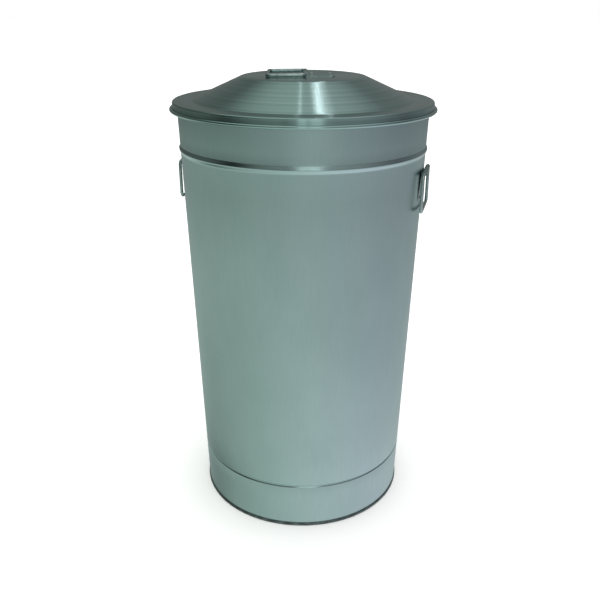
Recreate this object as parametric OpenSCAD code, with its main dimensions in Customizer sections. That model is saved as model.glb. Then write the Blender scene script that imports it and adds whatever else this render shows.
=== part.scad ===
// Tall tapered sheet-metal waste can with a loose spun lid and three drop-ring wire handles.
// Millimetres. The origin is the centre of the foot on the floor, +Z is up,
// and the two side handles lie on the X axis, the right one at +X.

/* [Can] */
// Outside radius of the wall at the floor
foot_r = 193.6; // [170:0.1:205]
// Outside radius of the wall at the rolled rim
mouth_r = 217.4; // [208:0.1:235]
// Height of the middle of the rolled rim
rim_z = 752.7; // [720:0.1:900]
// Thickness of the wall, bottom and lid sheet
sheet = 1.0; // [0.8:0.1:1.2]
// Radius of the wire inside the rolled rim
rim_wire_r = 2.25; // [1.5:0.05:3]

/* [Swages] */
// Height of the middle of the upper bead, which stands out
bead_z = 678.4; // [672:0.1:690]
// Width of the upper bead
bead_w = 10.8; // [8:0.1:14]
// How far the upper bead stands out
bead_h = 2.3; // [1.5:0.1:3]
// Height of the middle of the lower groove, which is pressed in
groove_z = 90.4; // [60:0.1:140]
// Width of the lower groove
groove_w = 6.2; // [5:0.1:9]
// Depth of the lower groove
groove_d = 1.4; // [1:0.1:2]

/* [Seam] */
// Width of the lapped side seam at the back of the wall
seam_w = 12; // [8:0.5:18]
// How far the lapped side seam stands out
seam_h = 0.8; // [0.5:0.1:1]

/* [Bottom] */
// Height of the bottom sheet's upper face above the floor
bottom_z = 13; // [12:0.5:20]
// Radius of the raised middle of the bottom
dish_r = 130; // [80:1:150]
// How far the middle of the bottom is raised
dish_h = 3; // [1:0.5:5]
// Height of the hoop around the foot
hoop_h = 7; // [6:0.1:9]
// Thickness of the hoop's outer leg
hoop_leg = 1.3; // [1:0.1:2]

/* [Lid] */
// Radial play between the lid's skirt and the can's rim
lid_play = 1.0; // [0.6:0.1:2]
// Height of the lid's edge, from its flange down to the bottom of its bead
edge_h = 16.6; // [14:0.1:22]
// Radius where the cone meets the flat flange
cone_foot_r = 192.3; // [185:0.1:198]
// Radius where the cone meets the flat top
top_r = 104.6; // [98:0.1:130]
// Rise from the flange to the flat top
cone_rise = 39.2; // [30:0.1:60]
// Radius of the rounded shoulder at the flat top
shoulder_r = 22; // [8:1:24]
// Radius of the fillet at the foot of the cone
cone_fillet_r = 6; // [3:0.5:10]
// Outside radius of the corner between flange and skirt
edge_corner_r = 3; // [2:0.5:4]
// Radius of the wire inside the lid's bead
lid_wire_r = 2.0; // [1.5:0.05:2.5]
// How far the lid is turned on the can, in degrees
lid_turn = 14.5; // [0:0.1:90]

/* [Handles] */
// Radius of the handle wire
wire_r = 2.9; // [2.5:0.1:3.2]
// Width of a ring along its hinge bar, between the middles of its legs
ring_w = 88; // [84:1:110]
// Distance from the hinge bar's middle to the grip's middle
ring_reach = 64; // [58:0.5:75]
// Radius of the ring's bends, at the middle of the wire
bend_r = 7; // [5:0.5:9]
// Running clearance around the hinge bar
bar_play = 0.08; // [0.04:0.01:0.1]
// Thickness of the bracket sheet
bracket_t = 1.0; // [0.8:0.1:1.2]
// Width of a bracket along the hinge bar
bracket_w = 65; // [60:1:68]
// Length of a bracket's plate, from the hinge bar's middle
plate_len = 50; // [48:0.5:52]
// Corner radius of a bracket's plate
plate_corner_r = 6; // [2:0.5:8]
// Height of the side handles' hinge bars
handle_z = 645; // [600:1:655]
// Distance from the lid's middle to its hinge bar
lid_hinge_x = 3; // [0:0.5:6]

/* [Rivets] */
// Distances from the hinge bar to the two rows of rivets
rivet_rows = [11, 43];
// Distance from the middle of a bracket to each rivet in a row
rivet_v = 25; // [20:0.5:25]
// Radius of a rivet's shank
rivet_r = 1.6; // [1.5:0.1:2.2]
// Radius of a rivet's outer head
head_r = 4.2; // [3.5:0.1:4.5]
// Height of a rivet's outer head
head_h = 1.9; // [1.5:0.1:2.2]
// Radius of a rivet's closed end inside
tail_r = 2.8; // [2.4:0.1:3.5]
// Height of a rivet's closed end inside
tail_h = 1.3; // [1:0.1:1.6]
// Radius of the washer under a rivet's closed end
washer_r = 5; // [4.5:0.1:6]
// Thickness of that washer
washer_t = 0.8; // [0.6:0.1:1]

/* [Hidden] */
$fn = 96;
// Gap between a rolled edge and the wire inside it
wire_gap = 0.05;
// Gap between the lid's flange and the can's rim, and between a ring and what it rests on
seat_gap = 0.2;
rest_gap = 0.3;
// How far a side barrel's back lies into its plate, measured from the plate's inner face
barrel_seat = 0.4;
// The sheet between a curved plate and its straight barrel, below and above the hinge bar
web_low = 2.5;
web_high = 1.5;
// Gaps between fixed pieces: sheet in a slot, shank in a hole, washer on a curved wall
slot_gap = 0.08;
hole_gap = 0.05;
curve_gap = 0.07;
// Thickness of the hoop under the wall and of its inner leg, and how far sheet stops above it
hoop_floor = 1.2;
hoop_round_r = 1.0;
sheet_end_z = hoop_floor + 0.1;
// Corner of the bottom sheet, and the slope between its rim and its raised middle
pan_corner_r = 3;
dish_slope_w = 6;

slope = (mouth_r - foot_r) / rim_z;
lean = atan(slope);
function wall_r(z) = foot_r + slope * z;

rim_curl_r = rim_wire_r + wire_gap + sheet;
rim_curl_x = mouth_r - sheet + rim_curl_r;
skirt_r = rim_curl_x + rim_curl_r + lid_play + sheet;
flange_z = rim_z + rim_curl_r + seat_gap + sheet;
lid_curl_r = lid_wire_r + wire_gap + sheet;
lid_curl_x = skirt_r - sheet + lid_curl_r;
lid_curl_z = flange_z - edge_h + lid_curl_r;
top_z = flange_z + cone_rise;
cone_angle = atan2(cone_rise, cone_foot_r - top_r);

bead_arc_r = (bead_h * bead_h + bead_w * bead_w / 4) / (2 * bead_h);
groove_arc_r = (groove_d * groove_d + groove_w * groove_w / 4) / (2 * groove_d);

bar_hole_r = wire_r + bar_play;
barrel_r = bar_hole_r + bracket_t;
side_bar_x = wall_r(handle_z) + barrel_seat + barrel_r;
lid_bar_z = top_z + barrel_r;
rest_tilt = asin((barrel_r - wire_r - rest_gap) / ring_reach);

wall_color = [0.52, 0.60, 0.58];
lid_color = [0.49, 0.57, 0.55];
foot_color = [0.22, 0.25, 0.25];
wire_color = [0.36, 0.40, 0.40];
bracket_color = [0.46, 0.52, 0.51];
rivet_color = [0.66, 0.69, 0.68];

// ---- Sections, drawn as radius against height ----

// Rolled edge: sheet around a wire, open between two angles where its end stops short.
module curl_section(hollow_r, open_from, open_to) {
    outer_r = hollow_r + sheet;
    far = 2 * outer_r;
    difference() {
        circle(r = outer_r);
        circle(r = hollow_r);
        polygon([
            [0, 0],
            [far * cos(open_from), far * sin(open_from)],
            [far * cos(open_to), far * sin(open_to)]
        ]);
    }
}

// Band that follows the tapered wall, from offset a to offset b of its outer face.
module wall_band(z_low, z_high, a, b) {
    polygon([
        [wall_r(z_low) + a, z_low],
        [wall_r(z_low) + b, z_low],
        [wall_r(z_high) + b, z_high],
        [wall_r(z_high) + a, z_high]
    ]);
}

// Wall sheet with its bead standing out and its groove pressed in.
module swaged_wall(z_low, z_high) {
    bead_x = wall_r(bead_z) + bead_h - bead_arc_r;
    groove_x = wall_r(groove_z) - groove_d + groove_arc_r;
    difference() {
        union() {
            wall_band(z_low, z_high, -sheet, 0);
            intersection() {
                translate([bead_x, bead_z]) circle(r = bead_arc_r);
                wall_band(bead_z - bead_w, bead_z + bead_w, -sheet / 2, bead_arc_r);
            }
            intersection() {
                translate([groove_x, groove_z]) circle(r = groove_arc_r + sheet);
                wall_band(groove_z - groove_w, groove_z + groove_w, -groove_arc_r, -sheet / 2);
            }
        }
        translate([bead_x, bead_z]) circle(r = bead_arc_r - sheet);
        translate([groove_x, groove_z]) circle(r = groove_arc_r);
    }
}

// Everything under the lid's skin, with the skin moved inwards by depth.
module lid_region(depth, low_z) {
    edge_x = skirt_r - edge_corner_r;
    edge_z = flange_z - edge_corner_r;
    fillet_x = cone_foot_r + cone_fillet_r * tan(cone_angle / 2);
    fillet_z = flange_z + cone_fillet_r;
    fillet_r = cone_fillet_r + depth;
    shoulder_x = top_r - shoulder_r * tan(cone_angle / 2);
    shoulder_z = top_z - shoulder_r;
    round_r = shoulder_r - depth;
    difference() {
        union() {
            polygon([
                [0, low_z],
                [skirt_r - depth, low_z],
                [skirt_r - depth, edge_z],
                [edge_x, flange_z - depth],
                [fillet_x, flange_z - depth],
                [fillet_x - fillet_r * sin(cone_angle), fillet_z - fillet_r * cos(cone_angle)],
                [shoulder_x + round_r * sin(cone_angle), shoulder_z + round_r * cos(cone_angle)],
                [shoulder_x, top_z - depth],
                [0, top_z - depth]
            ]);
            translate([edge_x, edge_z]) circle(r = edge_corner_r - depth);
            translate([shoulder_x, shoulder_z]) circle(r = round_r);
        }
        translate([fillet_x, fillet_z]) circle(r = fillet_r);
    }
}

// Everything under the bottom sheet, with the sheet moved down and in by depth.
module pan_region(depth, low_z) {
    pan_r = foot_r - sheet - slot_gap / 2;
    difference() {
        polygon([
            [0, low_z],
            [pan_r - depth, low_z],
            [pan_r - depth, bottom_z - pan_corner_r],
            [pan_r - pan_corner_r, bottom_z - depth],
            [dish_r, bottom_z - depth],
            [dish_r - dish_slope_w, bottom_z + dish_h - depth],
            [0, bottom_z + dish_h - depth]
        ]);
    }
    translate([pan_r - pan_corner_r, bottom_z - pan_corner_r]) circle(r = pan_corner_r - depth);
}

// Rectangle with rounded corners, centred.
module rounded_rect(w, h, r) {
    square([w - 2 * r, h], center = true);
    square([w, h - 2 * r], center = true);
    for (x = [-1, 1], y = [-1, 1])
        translate([x * (w / 2 - r), y * (h / 2 - r)]) circle(r = r);
}

// ---- Places ----

// A side handle's own frame: side 1 is the right one at +X, side -1 the left one.
module on_side(side) {
    rotate([0, 0, side > 0 ? 0 : 180]) children();
}

// The lid's own frame, which is turned on the can.
module on_lid() {
    rotate([0, 0, lid_turn]) children();
}

// At each rivet of a side bracket, +Z pointing out of the wall's outer face.
module at_side_rivets() {
    for (u = rivet_rows, v = [-1, 1]) {
        z = handle_z - u;
        rotate([0, 0, v * asin(rivet_v / wall_r(z))])
            translate([wall_r(z), 0, z])
                rotate([0, 90 + lean, 0]) children();
    }
}

// At each rivet of the lid's bracket, +Z pointing out of the lid's flat top.
module at_lid_rivets() {
    for (u = rivet_rows, v = [-1, 1])
        translate([lid_hinge_x + u, v * rivet_v, top_z]) children();
}

// ---- Shared pieces ----

// Rivet through bracket, sheet and washer. Its frame lies on the sheet's outer face.
module rivet() {
    dome_r = (head_h * head_h + head_r * head_r) / (2 * head_h);
    tail_z = -sheet - washer_t - curve_gap;
    intersection() {
        translate([0, 0, bracket_t + head_h - dome_r]) sphere(r = dome_r);
        translate([0, 0, bracket_t]) cylinder(r = 2 * head_r, h = 2 * head_h);
    }
    translate([0, 0, tail_z - tail_h]) cylinder(r = rivet_r, h = bracket_t + head_h / 2 - tail_z + tail_h);
    translate([0, 0, tail_z - tail_h]) cylinder(r = tail_r, h = tail_h);
}

module washer() {
    translate([0, 0, -sheet - curve_gap - washer_t]) difference() {
        cylinder(r = washer_r, h = washer_t);
        translate([0, 0, -1]) cylinder(r = rivet_r + hole_gap, h = washer_t + 2);
    }
}

module rivet_hole() {
    translate([0, 0, -3 * sheet]) cylinder(r = rivet_r + hole_gap, h = 6 * sheet);
}

// Straight wire along Y between two distances from the middle.
module y_rod(x, half) {
    translate([x, half, 0]) rotate([90, 0, 0]) cylinder(r = wire_r, h = 2 * half);
}

// Closed wire ring with its hinge bar on the Y axis and its grip at +X.
module wire_ring() {
    leg_y = ring_w / 2;
    y_rod(0, leg_y - bend_r);
    y_rod(ring_reach, leg_y - bend_r);
    for (v = [-1, 1])
        translate([bend_r, v * leg_y, 0]) rotate([0, 90, 0])
            cylinder(r = wire_r, h = ring_reach - 2 * bend_r);
    for (corner = [[bend_r, 1, 90], [bend_r, -1, 180], [ring_reach - bend_r, -1, 270], [ring_reach - bend_r, 1, 0]])
        translate([corner[0], corner[1] * (leg_y - bend_r), 0])
            rotate([0, 0, corner[2]])
                rotate_extrude(angle = 90) translate([bend_r, 0]) circle(r = wire_r);
}

// The bracket's barrel around the hinge bar, along Y.
module barrel() {
    rotate([90, 0, 0]) cylinder(r = barrel_r, h = bracket_w, center = true);
}

module barrel_bore() {
    rotate([90, 0, 0]) cylinder(r = bar_hole_r, h = bracket_w + 2, center = true);
}

// ---- Can ----

module body_wall() {
    color(wall_color) difference() {
        union() {
            rotate_extrude() {
                swaged_wall(sheet_end_z, rim_z);
                translate([rim_curl_x, rim_z]) curl_section(rim_wire_r + wire_gap, 190, 235);
            }
            rotate([0, 0, 90 - seam_w / foot_r * 90 / PI])
                rotate_extrude(angle = seam_w / foot_r * 180 / PI)
                    translate([seam_h, 0]) swaged_wall(hoop_h + 1, rim_z - 2 * rim_curl_r);
        }
        for (side = [-1, 1]) on_side(side) at_side_rivets() rivet_hole();
    }
}

module body_rim_wire() {
    color(wire_color) rotate_extrude() translate([rim_curl_x, rim_z]) circle(r = rim_wire_r);
}

module body_bottom() {
    color(wall_color) rotate_extrude() difference() {
        pan_region(0, sheet_end_z);
        pan_region(sheet, sheet_end_z - 1);
    }
}

module base_hoop() {
    slot_in = foot_r - 2 * sheet - slot_gap;
    slot_out = wall_r(hoop_h) + slot_gap;
    hoop_w = slot_out + hoop_leg - slot_in + sheet;
    color(foot_color) rotate_extrude() difference() {
        translate([slot_in - sheet + hoop_w / 2, hoop_h / 2]) rounded_rect(hoop_w, hoop_h, hoop_round_r);
        translate([slot_in, hoop_floor]) square([slot_out - slot_in, hoop_h]);
    }
}

// ---- Side handles ----

// Plate bent to the wall, with a straight barrel above it and the sheet between them.
module side_bracket() {
    plate_low = handle_z - plate_len;
    plate_side_h = plate_len + 2 * plate_corner_r;
    difference() {
        union() {
            intersection() {
                rotate([0, 0, -20]) rotate_extrude(angle = 40)
                    wall_band(plate_low - 1, handle_z, 0, bracket_t);
                translate([0, 0, plate_low + plate_side_h / 2]) rotate([90, 0, 90])
                    linear_extrude(2 * mouth_r) rounded_rect(bracket_w, plate_side_h, plate_corner_r);
            }
            translate([side_bar_x, 0, handle_z]) barrel();
            difference() {
                translate([foot_r, -bracket_w / 2, handle_z - web_low])
                    cube([side_bar_x - foot_r, bracket_w, web_low + web_high]);
                rotate_extrude() wall_band(handle_z - 20, handle_z + 20, -mouth_r / 2, 0);
            }
        }
        translate([side_bar_x, 0, handle_z]) barrel_bore();
        at_side_rivets() rivet_hole();
    }
}

// The ring hangs straight down from its hinge bar.
module side_ring() {
    translate([side_bar_x, 0, handle_z]) rotate([0, 90, 0]) wire_ring();
}

module left_handle_bracket() { color(bracket_color) on_side(-1) side_bracket(); }
module left_handle_ring() { color(wire_color) on_side(-1) side_ring(); }
module left_handle_rivets() { color(rivet_color) on_side(-1) at_side_rivets() rivet(); }
module left_handle_washers() { color(rivet_color) on_side(-1) at_side_rivets() washer(); }

module right_handle_bracket() { color(bracket_color) on_side(1) side_bracket(); }
module right_handle_ring() { color(wire_color) on_side(1) side_ring(); }
module right_handle_rivets() { color(rivet_color) on_side(1) at_side_rivets() rivet(); }
module right_handle_washers() { color(rivet_color) on_side(1) at_side_rivets() washer(); }

// ---- Lid ----

module lid_shell() {
    color(lid_color) difference() {
        rotate_extrude() {
            difference() {
                lid_region(0, lid_curl_z);
                lid_region(sheet, lid_curl_z - 1);
            }
            translate([lid_curl_x, lid_curl_z]) curl_section(lid_wire_r + wire_gap, 125, 170);
        }
        on_lid() at_lid_rivets() rivet_hole();
    }
}

module lid_rim_wire() {
    color(wire_color) rotate_extrude() translate([lid_curl_x, lid_curl_z]) circle(r = lid_wire_r);
}

module lid_handle_bracket() {
    color(bracket_color) on_lid() difference() {
        union() {
            translate([lid_hinge_x + plate_len / 2, 0, top_z]) linear_extrude(bracket_t)
                intersection() {
                    translate([-plate_corner_r, 0])
                        rounded_rect(plate_len + 2 * plate_corner_r, bracket_w, plate_corner_r);
                    square([plate_len, bracket_w], center = true);
                }
            translate([lid_hinge_x, 0, lid_bar_z]) barrel();
        }
        translate([lid_hinge_x, 0, lid_bar_z]) barrel_bore();
        at_lid_rivets() rivet_hole();
    }
}

// The ring lies folded away from its plate, its grip just clear of the flat top.
module lid_handle_ring() {
    color(wire_color) on_lid()
        translate([lid_hinge_x, 0, lid_bar_z]) rotate([0, 180 - rest_tilt, 0]) wire_ring();
}

module lid_handle_rivets() { color(rivet_color) on_lid() at_lid_rivets() rivet(); }
module lid_handle_washers() { color(rivet_color) on_lid() at_lid_rivets() washer(); }

body_wall();
body_rim_wire();
body_bottom();
base_hoop();
left_handle_bracket();
left_handle_ring();
left_handle_rivets();
left_handle_washers();
right_handle_bracket();
right_handle_ring();
right_handle_rivets();
right_handle_washers();
lid_shell();
lid_rim_wire();
lid_handle_bracket();
lid_handle_ring();
lid_handle_rivets();
lid_handle_washers();
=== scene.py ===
import math

import bmesh
import bpy
from mathutils import Matrix, Vector


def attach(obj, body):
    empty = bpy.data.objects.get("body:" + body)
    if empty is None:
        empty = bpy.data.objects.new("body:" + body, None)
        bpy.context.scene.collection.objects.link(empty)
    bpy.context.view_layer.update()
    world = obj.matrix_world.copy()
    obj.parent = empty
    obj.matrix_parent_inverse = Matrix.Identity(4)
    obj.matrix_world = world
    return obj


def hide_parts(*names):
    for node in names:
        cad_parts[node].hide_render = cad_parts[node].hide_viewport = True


# A tall tapered steel waste can with a loose spun lid and three drop-ring wire handles.
# A piece's sizes are millimetres, and become metres where its mesh is finished.
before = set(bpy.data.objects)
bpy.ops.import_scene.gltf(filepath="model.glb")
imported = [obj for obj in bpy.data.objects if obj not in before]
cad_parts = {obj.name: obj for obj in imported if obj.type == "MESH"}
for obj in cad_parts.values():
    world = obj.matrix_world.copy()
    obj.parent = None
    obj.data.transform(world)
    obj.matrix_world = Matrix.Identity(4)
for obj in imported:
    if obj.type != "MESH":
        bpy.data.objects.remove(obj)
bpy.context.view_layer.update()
mm = 0.001
spinSteps = 192  # flats round the can
joinWithin = 0.001  # points closer than this are one point
sharpDeg = 35  # an edge that turns more than this stays crisp
noiseRange = {"From Min": 0.3, "From Max": 0.7}  # where nearly all of a noise pattern lies
print("frame loaded:", len(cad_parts), "CAD nodes")


def linearColour(hexText):
    channels = [int(hexText[i:i + 2], 16) / 255 for i in (1, 3, 5)]
    linear = [c / 12.92 if c <= 0.04045 else ((c + 0.055) / 1.055) ** 2.4 for c in channels]
    return (*linear, 1.0)


# Adds one node. Inputs given as sockets are linked, anything else is a fixed value.
def addNode(tree, kind, settings=None, inputs=None):
    node = tree.nodes.new(kind)
    for name, value in (settings or {}).items():
        setattr(node, name, value)
    for name, value in (inputs or {}).items():
        if isinstance(value, bpy.types.NodeSocket):
            tree.links.new(value, node.inputs[name])
        else:
            node.inputs[name].default_value = value
    return node


def newMaterial(name):
    material = bpy.data.materials.new(name)
    material.use_nodes = True
    material.node_tree.nodes.clear()
    return material, material.node_tree


# Noise on the object's own coordinates, with a grain of the given size in millimetres each way.
def grain(tree, sizeMm, detail=2.0, roughness=0.5):
    place = addNode(tree, "ShaderNodeTexCoord")
    mapping = addNode(tree, "ShaderNodeMapping", inputs={
        "Vector": place.outputs["Object"],
        "Scale": tuple(1 / (size * mm) for size in sizeMm)})
    noise = addNode(tree, "ShaderNodeTexNoise", inputs={
        "Vector": mapping.outputs["Vector"], "Scale": 1.0, "Detail": detail, "Roughness": roughness})
    return noise.outputs["Fac"]


# Lathe lines: noise that changes only with the distance from the axis and the height.
def latheLines(tree, spacingMm, detail=2.0):
    place = addNode(tree, "ShaderNodeTexCoord")
    flat = addNode(tree, "ShaderNodeVectorMath", {"operation": "MULTIPLY"}, {
        0: place.outputs["Object"], 1: (1.0, 1.0, 0.0)})
    radius = addNode(tree, "ShaderNodeVectorMath", {"operation": "LENGTH"}, {0: flat.outputs["Vector"]})
    parts = addNode(tree, "ShaderNodeSeparateXYZ", inputs={"Vector": place.outputs["Object"]})
    along = addNode(tree, "ShaderNodeMath", {"operation": "SUBTRACT"}, {
        0: radius.outputs["Value"], 1: parts.outputs["Z"]})
    scaled = addNode(tree, "ShaderNodeMath", {"operation": "MULTIPLY"}, {
        0: along.outputs["Value"], 1: 1 / (spacingMm * mm)})
    noise = addNode(tree, "ShaderNodeTexNoise", {"noise_dimensions": "1D"}, {
        "W": scaled.outputs["Value"], "Scale": 1.0, "Detail": detail})
    return noise.outputs["Fac"]


# Two tones of one finish: the second comes through where the pattern is high, up to its share.
def blendTones(tree, pattern, first, second, share=1.0):
    level = addNode(tree, "ShaderNodeMapRange", inputs={
        "Value": pattern, **noiseRange, "To Min": 0.0, "To Max": share})
    tones = addNode(tree, "ShaderNodeMix", {"data_type": "RGBA"}, {
        0: level.outputs["Result"], 6: first, 7: second})
    return tones.outputs[2]


# Satin stainless sheet as it leaves the rolling mill: soft reflections, faint upright rolling
# lines and cloudy patches, so the wall reads as one even greenish grey. The beading rolls
# burnish the two swages, which show the room more sharply. Real rolling lines lie about 0.1 mm
# apart, which is too fine to show, so they are drawn 1.1 mm apart.
def satinRolledSteel(wall):
    look = {"pale": "#b4ccc9", "deep": "#a7c1be", "lineDark": "#a0b8b4", "lineShare": 0.3,
            "cloudMm": (150.0, 150.0, 260.0), "lineMm": (1.1, 1.1, 90.0), "waveMm": (170.0, 170.0, 300.0),
            "lineBump": 0.06, "lineDepthMm": 0.03, "waveBump": 0.5, "waveDepthMm": 2.0,
            "satinLow": 0.34, "satinHigh": 0.39, "burnished": 0.15,
            "burnishFull": 0.6, "burnishEnd": 1.3}  # the last two in halves of a swage's width
    material, tree = newMaterial("satinRolledStainless")
    clouds = grain(tree, look["cloudMm"], 3.0, 0.55)
    lines = grain(tree, look["lineMm"], 3.0, 0.6)
    waves = grain(tree, look["waveMm"], 1.0, 0.4)
    base = blendTones(tree, clouds, linearColour(look["deep"]), linearColour(look["pale"]))
    colour = blendTones(tree, lines, base, linearColour(look["lineDark"]), look["lineShare"])
    place = addNode(tree, "ShaderNodeTexCoord")
    parts = addNode(tree, "ShaderNodeSeparateXYZ", inputs={"Vector": place.outputs["Object"]})
    satin = addNode(tree, "ShaderNodeMapRange", inputs={
        "Value": lines, **noiseRange, "To Min": look["satinLow"], "To Max": look["satinHigh"]})
    roughness = satin.outputs["Result"]
    for height, half in ((wall["beadHeight"], wall["beadHalf"]), (wall["grooveHeight"], wall["grooveHalf"])):
        offset = addNode(tree, "ShaderNodeMath", {"operation": "SUBTRACT"}, {
            0: parts.outputs["Z"], 1: height * mm})
        away = addNode(tree, "ShaderNodeMath", {"operation": "ABSOLUTE"}, {0: offset.outputs["Value"]})
        near = addNode(tree, "ShaderNodeMapRange", inputs={
            "Value": away.outputs["Value"], "To Min": 1.0, "To Max": 0.0,
            "From Min": half * mm * look["burnishFull"], "From Max": half * mm * look["burnishEnd"]})
        mixed = addNode(tree, "ShaderNodeMix", {"data_type": "FLOAT"}, {
            0: near.outputs["Result"], 2: roughness, 3: look["burnished"]})
        roughness = mixed.outputs[0]
    fineBump = addNode(tree, "ShaderNodeBump", inputs={
        "Height": lines, "Strength": look["lineBump"], "Distance": look["lineDepthMm"] * mm})
    bump = addNode(tree, "ShaderNodeBump", inputs={
        "Height": waves, "Strength": look["waveBump"], "Distance": look["waveDepthMm"] * mm,
        "Normal": fineBump.outputs["Normal"]})
    roundAxis = addNode(tree, "ShaderNodeTangent", {"direction_type": "RADIAL", "axis": "Z"})
    shader = addNode(tree, "ShaderNodeBsdfPrincipled", inputs={
        "Base Color": colour, "Metallic": 1.0, "Roughness": roughness,
        "Normal": bump.outputs["Normal"], "Anisotropic": 0.3, "Tangent": roundAxis.outputs["Tangent"]})
    addNode(tree, "ShaderNodeOutputMaterial", inputs={"Surface": shader.outputs["BSDF"]})
    return material


# Stainless sheet spun over a former on a lathe: fine rings round the axis, which draw every
# light out into a bright ray from the middle to the edge, and a skirt polished as the edge was
# rolled. Real rings lie about 0.3 mm apart, too fine to show, so they are drawn 1.6 mm apart.
def spunSteel(lid):
    look = {"pale": "#aac6c1", "deep": "#8ba8a2", "bandShare": 0.6, "cloudShare": 0.4,
            "ringMm": 1.6, "bandMm": 9.0, "cloudMm": (120.0, 120.0, 120.0),
            "ringBump": 0.2, "ringDepthMm": 0.05, "ringLow": 0.13, "ringHigh": 0.17,
            "skirtPolish": 0.13, "skirtFadeMm": 1.0}
    material, tree = newMaterial("spunStainless")
    rings = latheLines(tree, look["ringMm"], 3.0)
    bands = latheLines(tree, look["bandMm"], 1.0)
    clouds = grain(tree, look["cloudMm"], 2.0)
    pale, deep = linearColour(look["pale"]), linearColour(look["deep"])
    base = blendTones(tree, bands, pale, deep, look["bandShare"])
    colour = blendTones(tree, clouds, base, deep, look["cloudShare"])
    bump = addNode(tree, "ShaderNodeBump", inputs={
        "Height": rings, "Strength": look["ringBump"], "Distance": look["ringDepthMm"] * mm})
    place = addNode(tree, "ShaderNodeTexCoord")
    parts = addNode(tree, "ShaderNodeSeparateXYZ", inputs={"Vector": place.outputs["Object"]})
    onSkirt = addNode(tree, "ShaderNodeMapRange", inputs={
        "Value": parts.outputs["Z"], "To Min": 1.0, "To Max": 0.0,
        "From Min": lid["skirtTop"] * mm, "From Max": (lid["skirtTop"] + look["skirtFadeMm"]) * mm})
    spun = addNode(tree, "ShaderNodeMapRange", inputs={
        "Value": rings, **noiseRange, "To Min": look["ringLow"], "To Max": look["ringHigh"]})
    roughness = addNode(tree, "ShaderNodeMix", {"data_type": "FLOAT"}, {
        0: onSkirt.outputs["Result"], 2: spun.outputs["Result"], 3: look["skirtPolish"]})
    roundAxis = addNode(tree, "ShaderNodeTangent", {"direction_type": "RADIAL", "axis": "Z"})
    shader = addNode(tree, "ShaderNodeBsdfPrincipled", inputs={
        "Base Color": colour, "Metallic": 1.0, "Roughness": roughness.outputs[0],
        "Normal": bump.outputs["Normal"], "Anisotropic": 0.97, "Anisotropic Rotation": 0.25,
        "Tangent": roundAxis.outputs["Tangent"]})
    addNode(tree, "ShaderNodeOutputMaterial", inputs={"Surface": shader.outputs["BSDF"]})
    return material


# Bare steel with one pattern of marks, which blends two tones, varies the roughness and, where
# the look has a depth, raises the surface a little.
def markedSteel(name, look):
    material, tree = newMaterial(name)
    marks = grain(tree, look["markMm"], look["detail"], look["markRoughness"])
    colour = blendTones(tree, marks, linearColour(look["steel"]), linearColour(look["mark"]))
    roughness = addNode(tree, "ShaderNodeMapRange", inputs={
        "Value": marks, **noiseRange, "To Min": look["smooth"], "To Max": look["rough"]})
    shader = addNode(tree, "ShaderNodeBsdfPrincipled", inputs={
        "Base Color": colour, "Metallic": 1.0, "Roughness": roughness.outputs["Result"]})
    if "depthMm" in look:
        bump = addNode(tree, "ShaderNodeBump", inputs={
            "Height": marks, "Strength": look["bump"], "Distance": look["depthMm"] * mm})
        tree.links.new(bump.outputs["Normal"], shader.inputs["Normal"])
    addNode(tree, "ShaderNodeOutputMaterial", inputs={"Surface": shader.outputs["BSDF"]})
    return material


# Hoop of hot-rolled strip, dull with floor dirt. Its dark tone and its dark marks are also painted shade,
# standing in for the shade on the downward-facing foot under the can.
paintedShadeHoopSteel = markedSteel("hoopSteelPaintedShade", {
    "steel": "#84928f", "mark": "#4b5552", "markMm": (14.0, 14.0, 5.0), "detail": 4.0,
    "markRoughness": 0.65, "smooth": 0.4, "rough": 0.6, "bump": 0.3, "depthMm": 0.2})
# Cold-drawn stainless wire: smooth, with scuffs from hands and from the bracket.
wireSteel = markedSteel("drawnStainlessWire", {
    "steel": "#bccbc8", "mark": "#9eacaa", "markMm": (9.0, 9.0, 9.0), "detail": 2.0,
    "markRoughness": 0.5, "smooth": 0.17, "rough": 0.25, "bump": 0.05, "depthMm": 0.1})
# Pressed stainless strip for the brackets: a little darker than the wall, with press marks.
bracketSteel = markedSteel("pressedStainlessStrip", {
    "steel": "#a3b7b2", "mark": "#93a6a1", "markMm": (9.0, 2.0, 9.0), "detail": 3.0,
    "markRoughness": 0.6, "smooth": 0.32, "rough": 0.44, "bump": 0.06, "depthMm": 0.1})
# Set rivets: stainless, brightened by the setting tool, with fine tool marks.
rivetSteel = markedSteel("setRivetStainless", {
    "steel": "#a9b6b2", "mark": "#8b9894", "markMm": (1.5, 1.5, 1.5), "detail": 3.0,
    "markRoughness": 0.6, "smooth": 0.24, "rough": 0.36})
print("materials made")


def arcPoints(centre, radius, fromDeg, toDeg, steps):
    angles = [math.radians(fromDeg + (toDeg - fromDeg) * i / steps) for i in range(steps + 1)]
    return [(centre[0] + radius * math.cos(a), centre[1] + radius * math.sin(a)) for a in angles]


# Draws an open outline of (across, height) points as a chain of edges in the XZ plane.
def drawOutline(bm, points, y=0.0):
    verts = [bm.verts.new((x, y, z)) for x, z in points]
    edges = [bm.edges.new(pair) for pair in zip(verts, verts[1:])]
    return verts, edges


# Turns the surface so that the face nearest to a point outside it looks at that point.
def faceTowards(bm, outside):
    outside = Vector(outside)
    nearest = min(bm.faces, key=lambda face: (face.calc_center_median() - outside).length)
    if nearest.normal.dot(outside - nearest.calc_center_median()) < 0:
        bmesh.ops.reverse_faces(bm, faces=bm.faces[:])


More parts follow.
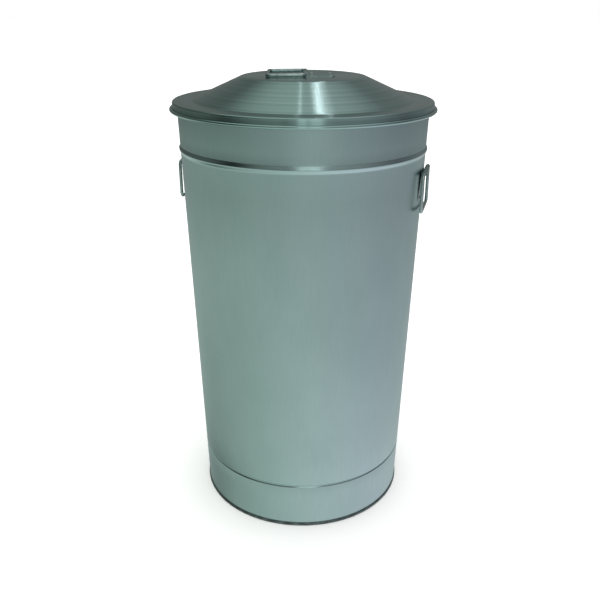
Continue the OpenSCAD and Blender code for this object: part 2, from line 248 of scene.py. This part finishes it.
# Spins an outline round the Z axis into a surface.
def spinOutline(bm, points, degrees=360, steps=spinSteps, startDeg=0):
    verts, edges = drawOutline(bm, points)
    if startDeg:
        toStart = Matrix.Rotation(math.radians(startDeg), 3, "Z")
        bmesh.ops.rotate(bm, verts=verts, cent=(0, 0, 0), matrix=toStart)
    bmesh.ops.spin(bm, geom=verts + edges, cent=(0, 0, 0), axis=(0, 0, 1), dvec=(0, 0, 0),
                   angle=math.radians(degrees), steps=steps, use_merge=degrees == 360, use_duplicate=False)
    bmesh.ops.remove_doubles(bm, verts=bm.verts[:], dist=joinWithin)
    bmesh.ops.recalc_face_normals(bm, faces=bm.faces[:])


# Gives a surface its sheet thickness on the side that its faces look away from.
def thicken(bm, thickness):
    bmesh.ops.solidify(bm, geom=bm.faces[:], thickness=thickness)


# Draws edges out along a straight line and gives back the edges at its far end.
def drawOut(bm, edges, along):
    drawn = bmesh.ops.extrude_edge_only(bm, edges=edges)["geom"]
    moved = [item for item in drawn if isinstance(item, bmesh.types.BMVert)]
    bmesh.ops.translate(bm, verts=moved, vec=along)
    return [item for item in drawn if isinstance(item, bmesh.types.BMEdge)]


# Makes the bmesh, drawn in millimetres, a finished piece that rides on a body.
def finishPiece(bm, name, body, material, replaced=(), placed=None):
    if placed is not None:
        bmesh.ops.transform(bm, matrix=placed, verts=bm.verts[:])
    bmesh.ops.scale(bm, vec=(mm, mm, mm), verts=bm.verts[:])
    mesh = bpy.data.meshes.new(name)
    bm.to_mesh(mesh)
    bm.free()
    mesh.polygons.foreach_set("use_smooth", [True] * len(mesh.polygons))
    mesh.set_sharp_from_angle(angle=math.radians(sharpDeg))
    mesh.materials.append(material)
    piece = bpy.data.objects.new(name, mesh)
    bpy.context.scene.collection.objects.link(piece)
    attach(piece, body)
    if replaced:
        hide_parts(*replaced)


# The wall is drawn as its outer face, from the edge in the foot hoop to the end of the curled rim.
wall = {"footRadius": 193.6, "mouthRadius": 217.4, "rimHeight": 752.7, "sheet": 1.0, "sheetEnd": 1.3,
        "rimHollow": 2.3, "rimStopDeg": -125, "rimStart": 3.0,
        "beadHeight": 678.4, "beadHalf": 7.0, "beadOut": 2.3,
        "grooveHeight": 90.4, "grooveHalf": 3.9, "grooveIn": 1.4}
wallSlope = (wall["mouthRadius"] - wall["footRadius"]) / wall["rimHeight"]
wallSteel = satinRolledSteel(wall)


def wallRadius(z):
    return wall["footRadius"] + wallSlope * z


def plainWall(low, high, steps):
    heights = [low + (high - low) * i / steps for i in range(steps + 1)]
    return [(wallRadius(z), z) for z in heights]


# A soft swage across the wall: a raised cosine that stands out, or goes in if out is negative.
def swagePoints(height, half, out, steps):
    points = []
    for i in range(steps + 1):
        t = -1 + 2 * i / steps
        z = height + half * t
        points.append((wallRadius(z) + out * (0.5 + 0.5 * math.cos(math.pi * t)), z))
    return points


def wallOutline(low, high):
    points = plainWall(low, wall["grooveHeight"] - wall["grooveHalf"], steps=4)[:-1]
    points += swagePoints(wall["grooveHeight"], wall["grooveHalf"], -wall["grooveIn"], steps=12)
    points += plainWall(wall["grooveHeight"] + wall["grooveHalf"],
                        wall["beadHeight"] - wall["beadHalf"], steps=12)[1:-1]
    points += swagePoints(wall["beadHeight"], wall["beadHalf"], wall["beadOut"], steps=16)
    points += plainWall(wall["beadHeight"] + wall["beadHalf"], high, steps=4)[1:]
    return points


def makeWall():
    curlCentre = (wall["mouthRadius"] + wall["rimHollow"], wall["rimHeight"])
    curl = arcPoints(curlCentre, wall["rimHollow"], 180, wall["rimStopDeg"], steps=28)
    bm = bmesh.new()
    spinOutline(bm, wallOutline(wall["sheetEnd"], wall["rimHeight"] - wall["rimStart"]) + curl)
    faceTowards(bm, (400, 0, 400))  # a point beside the can
    thicken(bm, wall["sheet"])
    finishPiece(bm, "canWall", "can", wallSteel, ["body_wall"])


# The lapped edge of the wall sheet at the back, with its row of spot welds.
seam = {"width": 12.0, "out": 0.8, "sunk": 0.1, "low": 8.0, "belowRim": 7.0, "middleDeg": 90,
        "weldRadius": 2.6, "weldTopShare": 0.8, "weldOut": 0.18, "weldSpacing": 26.0, "weldSides": 20}


def makeSeam():
    spanDeg = math.degrees(seam["width"] / wall["footRadius"])
    outline = wallOutline(seam["low"], wall["rimHeight"] - seam["belowRim"])
    lapped = [(x + seam["out"], z) for x, z in outline]
    bm = bmesh.new()
    spinOutline(bm, lapped, degrees=spanDeg, steps=4, startDeg=seam["middleDeg"] - spanDeg / 2)
    faceTowards(bm, (0, 400, 400))  # a point behind the can
    thicken(bm, seam["out"] + seam["sunk"])
    outwards = Matrix.Rotation(math.radians(-90), 3, "X")
    count = int((wall["beadHeight"] - wall["grooveHeight"]) / seam["weldSpacing"])
    for i in range(1, count):
        z = wall["grooveHeight"] + i * seam["weldSpacing"]
        weld = bmesh.ops.create_cone(bm, cap_ends=True, segments=seam["weldSides"],
                                     radius1=seam["weldRadius"],
                                     radius2=seam["weldRadius"] * seam["weldTopShare"],
                                     depth=2 * seam["weldOut"])["verts"]
        bmesh.ops.rotate(bm, verts=weld, cent=(0, 0, 0), matrix=outwards)
        bmesh.ops.translate(bm, verts=weld, vec=(0, wallRadius(z) + seam["out"], z))
    finishPiece(bm, "canSideSeam", "can", wallSteel)


# The pressed bottom: a low middle dish, a flat, and a flange turned down into the foot hoop.
bottom = {"radius": 192.56, "height": 13.0, "sheet": 1.0, "corner": 3.0, "sheetEnd": 1.3,
          "middle": 60.0, "flatEnd": 160.0, "dishRadius": 127.0, "dishHalf": 5.0, "dishUp": 3.0,
          "dishSteps": 12}


def makeBottom():
    high, low = bottom["height"] + bottom["dishUp"], bottom["height"]
    points = [(0, high), (bottom["middle"], high)]
    for i in range(bottom["dishSteps"] + 1):
        t = i / bottom["dishSteps"]
        points.append((bottom["dishRadius"] + bottom["dishHalf"] * (2 * t - 1),
                       low + bottom["dishUp"] * (0.5 + 0.5 * math.cos(math.pi * t))))
    points.append((bottom["flatEnd"], low))
    corner = (bottom["radius"] - bottom["corner"], low - bottom["corner"])
    points += arcPoints(corner, bottom["corner"], 90, 0, steps=8)
    points.append((bottom["radius"], bottom["sheetEnd"]))
    bm = bmesh.new()
    spinOutline(bm, points)
    faceTowards(bm, (0, 0, 400))  # a point above the bottom
    thicken(bm, bottom["sheet"])
    finishPiece(bm, "canBottom", "can", wallSteel, ["body_bottom"])


# A rolled channel: round outside, open at the top for the wall and the bottom's flange. Its
# outer lip is rolled in over the wall, by steps given as (in from the outside, down from the top).
hoop = {"inner": 190.52, "outer": 195.2, "height": 7.0, "sheet": 1.05, "round": 2.0,
        "lip": [(0.0, 1.2), (0.45, 0.35), (1.1, 0.0)]}


def makeHoop():
    inner, outer, high, bend = hoop["inner"], hoop["outer"], hoop["height"], hoop["round"]
    points = [(inner, high)]
    points += arcPoints((inner + bend, bend), bend, 180, 270, steps=8)
    points += arcPoints((outer - bend, bend), bend, 270, 360, steps=8)
    points += [(outer - inwards, high - down) for inwards, down in hoop["lip"]]
    bm = bmesh.new()
    spinOutline(bm, points)
    faceTowards(bm, (400, 0, 3))  # a point beside the hoop
    thicken(bm, hoop["sheet"])
    # The hoop's finish is darkened with painted shade for the shaded foot of the can.
    finishPiece(bm, "footHoop", "can", paintedShadeHoopSteel, ["base_hoop"])


makeWall()
makeSeam()
makeBottom()
makeHoop()
print("can made")

# The lid is drawn as its upper face, from the middle out and down to the end of the curled edge.
lid = {"skirtRadius": 225.0, "flangeHeight": 757.2, "sheet": 1.0, "edgeCorner": 3.0, "coneFoot": 192.3,
       "coneFillet": 6.0, "topRadius": 104.6, "topHeight": 796.4, "shoulder": 22.0,
       "curlHollow": 2.05, "curlHeight": 743.65, "curlStopDeg": 485, "skirtTop": 752.0}
lidSteel = spunSteel(lid)


def makeLid():
    slope = math.atan2(lid["topHeight"] - lid["flangeHeight"], lid["coneFoot"] - lid["topRadius"])
    slopeDeg = math.degrees(slope)
    lean = math.tan(slope / 2)
    shoulder = (lid["topRadius"] - lid["shoulder"] * lean, lid["topHeight"] - lid["shoulder"])
    fillet = (lid["coneFoot"] + lid["coneFillet"] * lean, lid["flangeHeight"] + lid["coneFillet"])
    edge = (lid["skirtRadius"] - lid["edgeCorner"], lid["flangeHeight"] - lid["edgeCorner"])
    curl = (lid["skirtRadius"] + lid["curlHollow"], lid["curlHeight"])
    points = [(lid["topRadius"] * share, lid["topHeight"]) for share in (0, 0.25, 0.5, 0.75)]
    points += arcPoints(shoulder, lid["shoulder"], 90, 90 - slopeDeg, steps=12)
    coneTop = points[-1]
    filletArc = arcPoints(fillet, lid["coneFillet"], 270 - slopeDeg, 270, steps=8)
    coneLow = filletArc[0]
    for share in (0.2, 0.4, 0.6, 0.8):
        points.append((coneTop[0] + (coneLow[0] - coneTop[0]) * share,
                       coneTop[1] + (coneLow[1] - coneTop[1]) * share))
    points += filletArc
    points += arcPoints(edge, lid["edgeCorner"], 90, 0, steps=10)
    points += arcPoints(curl, lid["curlHollow"], 180, lid["curlStopDeg"], steps=28)
    bm = bmesh.new()
    spinOutline(bm, points)
    faceTowards(bm, (0, 0, 1200))  # a point above the lid
    thicken(bm, lid["sheet"])
    finishPiece(bm, "lidShell", "lid", lidSteel, ["lid_shell"])


makeLid()
print("lid made")

# Three drop rings, each in a bracket whose edge is rolled into a barrel round the ring's bar.
ring = {"wireRadius": 2.9, "width": 88.0, "reach": 64.0, "bend": 7.0, "wireSides": 28, "bendSteps": 10,
        "barrelRadius": 3.98, "joinWithin": 0.01}
bracket = {"width": 65.0, "length": 50.0, "sheet": 1.0, "corner": 6.0, "rollStopDeg": -45,
           "cutsAcross": 24, "cutWithin": 0.0001, "bendFrom": 3.0, "bendTo": 13.0}
places = {"sideHeight": 645.0, "barrelSeat": 0.4, "lidTurnDeg": 14.5, "lidHingeX": 3.0, "restGap": 0.3}
sideBarX = wallRadius(places["sideHeight"]) + places["barrelSeat"] + ring["barrelRadius"]
lidBarZ = lid["topHeight"] + ring["barrelRadius"]
restTilt = math.asin((ring["barrelRadius"] - ring["wireRadius"] - places["restGap"]) / ring["reach"])


# A closed wire ring in the XY plane, its hinge bar on the Y axis and its grip at +X:
# a circle is drawn out along each side and spun round each bend until it comes back.
def ringMesh():
    half, bend, reach = ring["width"] / 2, ring["bend"], ring["reach"]
    bm = bmesh.new()
    bmesh.ops.create_circle(bm, cap_ends=False, segments=ring["wireSides"], radius=ring["wireRadius"])
    upright = Matrix.Rotation(math.radians(90), 3, "X")
    bmesh.ops.rotate(bm, verts=bm.verts[:], cent=(0, 0, 0), matrix=upright)
    bmesh.ops.translate(bm, verts=bm.verts[:], vec=(0, bend - half, 0))
    sides = [((0, 2 * half - 2 * bend, 0), (bend, half - bend)),
             ((reach - 2 * bend, 0, 0), (reach - bend, half - bend)),
             ((0, 2 * bend - 2 * half, 0), (reach - bend, bend - half)),
             ((2 * bend - reach, 0, 0), (bend, bend - half))]
    front = bm.edges[:]
    for along, centre in sides:
        front = drawOut(bm, front, along)
        spun = bmesh.ops.spin(bm, geom=front, cent=(*centre, 0), axis=(0, 0, 1), dvec=(0, 0, 0),
                              angle=math.radians(-90), steps=ring["bendSteps"], use_duplicate=False)
        front = [item for item in spun["geom_last"] if isinstance(item, bmesh.types.BMEdge)]
    bmesh.ops.remove_doubles(bm, verts=bm.verts[:], dist=ring["joinWithin"])
    bmesh.ops.recalc_face_normals(bm, faces=bm.faces[:])
    return bm


# The bracket as pressed flat: its plate runs to +X, and its near edge is rolled round the hinge bar.
def flatBracket():
    barrel = ring["barrelRadius"]
    half = bracket["width"] / 2
    roll = arcPoints((0, barrel), barrel, 270, bracket["rollStopDeg"], steps=30)
    bm = bmesh.new()
    edges = drawOutline(bm, [(bracket["length"], 0)] + roll, -half)[1]
    drawOut(bm, edges, (0, 2 * half, 0))
    corners = [vert for vert in bm.verts if vert.co.x > bracket["length"] - joinWithin]
    bmesh.ops.bevel(bm, geom=corners, offset=bracket["corner"], offset_type="OFFSET", segments=8,
                    profile=0.5, affect="VERTICES", material=-1)
    for i in range(1, bracket["cutsAcross"]):
        y = -half + 2 * half * i / bracket["cutsAcross"]
        bmesh.ops.bisect_plane(bm, geom=bm.verts[:] + bm.edges[:] + bm.faces[:],
                               dist=bracket["cutWithin"], plane_co=(0, y, 0), plane_no=(0, 1, 0))
    bmesh.ops.recalc_face_normals(bm, faces=bm.faces[:])
    faceTowards(bm, (bracket["length"] / 2, 0, -100))  # a point under the plate
    thicken(bm, bracket["sheet"])
    return bm


# Bends a flat bracket to the wall: the plate follows the round wall and its taper, and the
# sheet goes over to the straight barrel across a short stretch below it.
def bendToWall(bm):
    for vert in bm.verts:
        down, across, out = vert.co
        share = (down - bracket["bendFrom"]) / (bracket["bendTo"] - bracket["bendFrom"])
        share = min(max(share, 0.0), 1.0)
        share = share * share * (3 - 2 * share)
        z = places["sideHeight"] - down
        straight = wallRadius(places["sideHeight"]) + places["barrelSeat"] + out
        curved = math.sqrt((wallRadius(z) + out) ** 2 - across * across)
        vert.co = (straight + (curved - straight) * share, across, z)


sideTurns = {"right": 0.0, "left": math.pi}
gripDown = Matrix.Rotation(math.radians(90), 4, "Y")
for side, turn in sideTurns.items():
    onSide = Matrix.Rotation(turn, 4, "Z")
    hanging = onSide @ Matrix.Translation((sideBarX, 0, places["sideHeight"])) @ gripDown
    finishPiece(ringMesh(), side + "DropRing", side + "_ring", wireSteel,
                [side + "_handle_ring"], placed=hanging)
    bent = flatBracket()
    bendToWall(bent)
    finishPiece(bent, side + "Bracket", "can", bracketSteel,
                [side + "_handle_bracket"], placed=onSide)

onLid = Matrix.Rotation(math.radians(places["lidTurnDeg"]), 4, "Z")
foldedBack = Matrix.Rotation(math.pi - restTilt, 4, "Y")
folded = onLid @ Matrix.Translation((places["lidHingeX"], 0, lidBarZ)) @ foldedBack
finishPiece(ringMesh(), "lidDropRing", "lid_ring", wireSteel,
            ["lid_handle_ring"], placed=folded)
lidPlate = onLid @ Matrix.Translation((places["lidHingeX"], 0, lid["topHeight"]))
finishPiece(flatBracket(), "lidBracket", "lid", bracketSteel,
            ["lid_handle_bracket"], placed=lidPlate)
print("rings and brackets made")

# Rivets, washers and the wires inside the rolled edges keep their CAD shapes.
keptNodes = {"body_rim_wire": wireSteel, "lid_rim_wire": wireSteel}
for holder in ("left", "right", "lid"):
    keptNodes[holder + "_handle_rivets"] = rivetSteel
    keptNodes[holder + "_handle_washers"] = rivetSteel
for name, material in keptNodes.items():
    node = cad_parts[name]
    node.data.materials.clear()
    node.data.materials.append(material)
print("kept CAD nodes given their materials")

# The studio's sizes are metres, and its directions are degrees round the can from its right side
# as the camera has it, and degrees up. The strips lie behind the can and streak the lid, and the
# sun lights the floor white but shows in no metal.
studio = {"turnDeg": 14.5, "stripDistance": 4.0, "stripTint": "#fff6ff",
          "strips": [
              {"azimuthDeg": 80.8, "elevationDeg": 54, "width": 0.03, "height": 1.7, "power": 2.0},
              {"azimuthDeg": 92.0, "elevationDeg": 52, "width": 0.035, "height": 1.8, "power": 0.25}],
          "floorSun": {"strength": 3.4, "angleDeg": 120},
          "floor": {"pale": "#f6f6f4", "shade": "#ecedea", "shadeShare": 0.15, "shadeMm": 400.0,
                    "size": 60.0},
          "camera": {"distance": 1.2937, "height": 0.9164, "pitchDeg": 22.54, "rollRad": 0.0036,
                     "lensMm": 43.53, "sensorMm": 36.0, "shiftX": -0.00445,
                     "nearest": 0.02, "furthest": 60.0}}


def addStripLight(name, strip, target):
    azimuth = math.radians(strip["azimuthDeg"] + studio["turnDeg"])
    elevation = math.radians(strip["elevationDeg"])
    away = Vector((math.cos(elevation) * math.cos(azimuth), math.cos(elevation) * math.sin(azimuth),
                   math.sin(elevation)))
    spot = target + away * studio["stripDistance"]
    light = bpy.data.lights.new(name, "AREA")
    light.shape = "RECTANGLE"
    light.size = strip["width"]
    light.size_y = strip["height"]
    light.energy = strip["power"]
    light.color = linearColour(studio["stripTint"])[:3]
    lamp = bpy.data.objects.new(name, light)
    turned = (target - spot).to_track_quat("-Z", "Y").to_matrix().to_4x4()
    lamp.matrix_world = Matrix.Translation(spot) @ turned
    bpy.context.scene.collection.objects.link(lamp)


def addFloorSun():
    light = bpy.data.lights.new("floorSun", "SUN")
    light.energy = studio["floorSun"]["strength"]
    light.angle = math.radians(studio["floorSun"]["angleDeg"])
    lamp = bpy.data.objects.new("floorSun", light)
    lamp.visible_glossy = False
    bpy.context.scene.collection.objects.link(lamp)


# A floor of matte white card: even, with barely a change of tone.
def makeFloor():
    look = studio["floor"]
    bm = bmesh.new()
    bmesh.ops.create_grid(bm, x_segments=1, y_segments=1, size=look["size"] / 2)
    mesh = bpy.data.meshes.new("floor")
    bm.to_mesh(mesh)
    bm.free()
    material, tree = newMaterial("matteWhiteFloor")
    tone = grain(tree, (look["shadeMm"],) * 3, 1.0)
    pale, shade = linearColour(look["pale"]), linearColour(look["shade"])
    colour = blendTones(tree, tone, pale, shade, look["shadeShare"])
    shader = addNode(tree, "ShaderNodeBsdfPrincipled", inputs={
        "Base Color": colour, "Roughness": 0.9, "Specular IOR Level": 0.1})
    addNode(tree, "ShaderNodeOutputMaterial", inputs={"Surface": shader.outputs["BSDF"]})
    mesh.materials.append(material)
    floor = bpy.data.objects.new("floor", mesh)
    floor.visible_glossy = False
    bpy.context.scene.collection.objects.link(floor)


# The room as the metal sees it, in pairs of degrees and brightness, with the camera's side in
# the middle of each azimuth ramp: a pale floor in shade on the left, a dim wall with a bright
# window behind the camera, and a ceiling that brightens overhead. fadeDeg says between which
# elevations the floor and the wall come in, and rampTop is more than any brightness, because a
# ramp holds no more than 1. The camera itself sees plain white.
room = {"floorToCeiling": [(-90, 0.90), (-39, 0.86), (-33, 0.79), (-26, 0.68), (-17, 0.55), (-10, 0.42),
                           (-4, 0.36), (2, 0.39), (8, 0.42), (16, 0.45), (26, 0.45), (36, 0.47),
                           (45, 0.52), (54, 0.60), (90, 0.70)],
        "wallLevels": [(-180, 0.48), (-150, 0.33), (-124, 0.30), (-98, 0.30), (-84, 0.20), (-72, 0.07),
                       (-62, 0.10), (-50, 0.36), (-38, 0.54), (-22, 0.66), (-14, 0.58), (-6, 1.0),
                       (-3, 2.1), (1, 2.2), (4, 1.6), (8, 2.3), (14, 2.3), (19, 1.1), (26, 0.86),
                       (44, 0.80), (60, 0.70), (76, 0.54), (96, 0.38), (112, 0.48), (130, 0.58),
                       (156, 0.50), (180, 0.48)],
        "floorLevels": [(-180, 0.70), (-140, 0.22), (-122, 0.16), (-104, 0.36), (-84, 0.62), (-56, 0.78),
                        (-28, 0.90), (0, 0.98), (28, 1.06), (84, 1.08), (126, 1.02), (180, 0.70)],
        "sideTints": [(-180, "#f2fbf8"), (-90, "#f0fdf4"), (0, "#f4fbfb"), (90, "#f8f3ff"), (180, "#f2fbf8")],
        "fadeDeg": {"floor": (-24, -42), "wallFoot": (-13, -6), "wallTop": (52, 36)},
        "rampTop": 3.0}


def fillRamp(ramp, stops):
    while len(ramp.elements) < len(stops):
        ramp.elements.new(0.5)
    for element, (position, colour) in zip(ramp.elements, stops):
        element.position = position
        element.color = colour


def grey(level):
    return (level, level, level, 1.0)


def makeWorld():
    world = bpy.data.worlds.new("studioWorld")
    world.use_nodes = True
    tree = world.node_tree
    tree.nodes.clear()
    place = addNode(tree, "ShaderNodeTexCoord")
    turned = addNode(tree, "ShaderNodeVectorRotate", {"rotation_type": "Z_AXIS"}, {
        "Vector": place.outputs["Generated"], "Angle": -math.radians(studio["turnDeg"])})
    parts = addNode(tree, "ShaderNodeSeparateXYZ", inputs={"Vector": turned.outputs["Vector"]})
    height = addNode(tree, "ShaderNodeMapRange", inputs={
        "Value": parts.outputs["Z"], "From Min": -1.0, "From Max": 1.0})
    levels = addNode(tree, "ShaderNodeValToRGB", inputs={"Fac": height.outputs["Result"]})
    fillRamp(levels.color_ramp, [(0.5 + 0.5 * math.sin(math.radians(degrees)), grey(level))
                                 for degrees, level in room["floorToCeiling"]])

    away = addNode(tree, "ShaderNodeMath", {"operation": "MULTIPLY"}, {0: parts.outputs["Y"], 1: -1.0})
    angle = addNode(tree, "ShaderNodeMath", {"operation": "ARCTAN2"}, {
        0: parts.outputs["X"], 1: away.outputs["Value"]})
    azimuth = addNode(tree, "ShaderNodeMapRange", inputs={
        "Value": angle.outputs["Value"], "From Min": -math.pi, "From Max": math.pi})
    ramps = {name: addNode(tree, "ShaderNodeValToRGB", inputs={"Fac": azimuth.outputs["Result"]})
             for name in ("wallLevels", "floorLevels", "sideTints")}
    for name in ("wallLevels", "floorLevels"):
        fillRamp(ramps[name].color_ramp, [(0.5 + degrees / 360, grey(level / room["rampTop"]))
                                          for degrees, level in room[name]])
    fillRamp(ramps["sideTints"].color_ramp, [(0.5 + degrees / 360, linearColour(colour))
                                             for degrees, colour in room["sideTints"]])

    shares = {}
    for name, (fromDeg, toDeg) in room["fadeDeg"].items():
        fade = addNode(tree, "ShaderNodeMapRange", inputs={
            "Value": parts.outputs["Z"], "From Min": math.sin(math.radians(fromDeg)),
            "From Max": math.sin(math.radians(toDeg))})
        shares[name] = fade.outputs["Result"]
    wallShare = addNode(tree, "ShaderNodeMath", {"operation": "MULTIPLY"}, {
        0: shares["wallFoot"], 1: shares["wallTop"]})
    withFloor = addNode(tree, "ShaderNodeMix", {"data_type": "RGBA"}, {
        0: shares["floor"], 6: grey(1 / room["rampTop"]), 7: ramps["floorLevels"].outputs["Color"]})
    withWall = addNode(tree, "ShaderNodeMix", {"data_type": "RGBA"}, {
        0: wallShare.outputs["Value"], 6: withFloor.outputs[2], 7: ramps["wallLevels"].outputs["Color"]})
    light = levels.outputs["Color"]
    for layer in (withWall.outputs[2], ramps["sideTints"].outputs["Color"]):
        light = addNode(tree, "ShaderNodeMix", {"data_type": "RGBA", "blend_type": "MULTIPLY"}, {
            0: 1.0, 6: light, 7: layer}).outputs[2]

    seen = addNode(tree, "ShaderNodeBackground", inputs={"Color": grey(1.0), "Strength": 1.0})
    lit = addNode(tree, "ShaderNodeBackground", inputs={"Color": light, "Strength": room["rampTop"]})
    path = addNode(tree, "ShaderNodeLightPath")
    mix = addNode(tree, "ShaderNodeMixShader", inputs={
        0: path.outputs["Is Camera Ray"], 1: lit.outputs["Background"], 2: seen.outputs["Background"]})
    addNode(tree, "ShaderNodeOutputWorld", inputs={"Surface": mix.outputs["Shader"]})
    bpy.context.scene.world = world


def makeCamera():
    view = studio["camera"]
    data = bpy.data.cameras.new("studioCamera")
    data.lens = view["lensMm"]
    data.sensor_width = view["sensorMm"]
    data.shift_x = view["shiftX"]
    data.clip_start = view["nearest"]
    data.clip_end = view["furthest"]
    camera = bpy.data.objects.new("studioCamera", data)
    azimuth = math.radians(-90 + studio["turnDeg"])
    spot = (math.cos(azimuth) * view["distance"], math.sin(azimuth) * view["distance"], view["height"])
    turn = Matrix.Rotation(azimuth + math.pi / 2, 4, "Z")
    tip = Matrix.Rotation(math.radians(90 - view["pitchDeg"]), 4, "X")
    roll = Matrix.Rotation(view["rollRad"], 4, "Z")
    camera.matrix_world = Matrix.Translation(spot) @ turn @ tip @ roll
    bpy.context.scene.collection.objects.link(camera)
    bpy.context.scene.camera = camera


makeFloor()
makeWorld()
makeCamera()
lidMiddle = Vector((0, 0, lid["topHeight"] * mm))
for i, strip in enumerate(studio["strips"]):
    addStripLight(f"stripLight{i}", strip, lidMiddle)
addFloorSun()
bpy.context.scene.view_settings.view_transform = "Standard"
bpy.context.scene.view_settings.look = "None"
print("studio made")
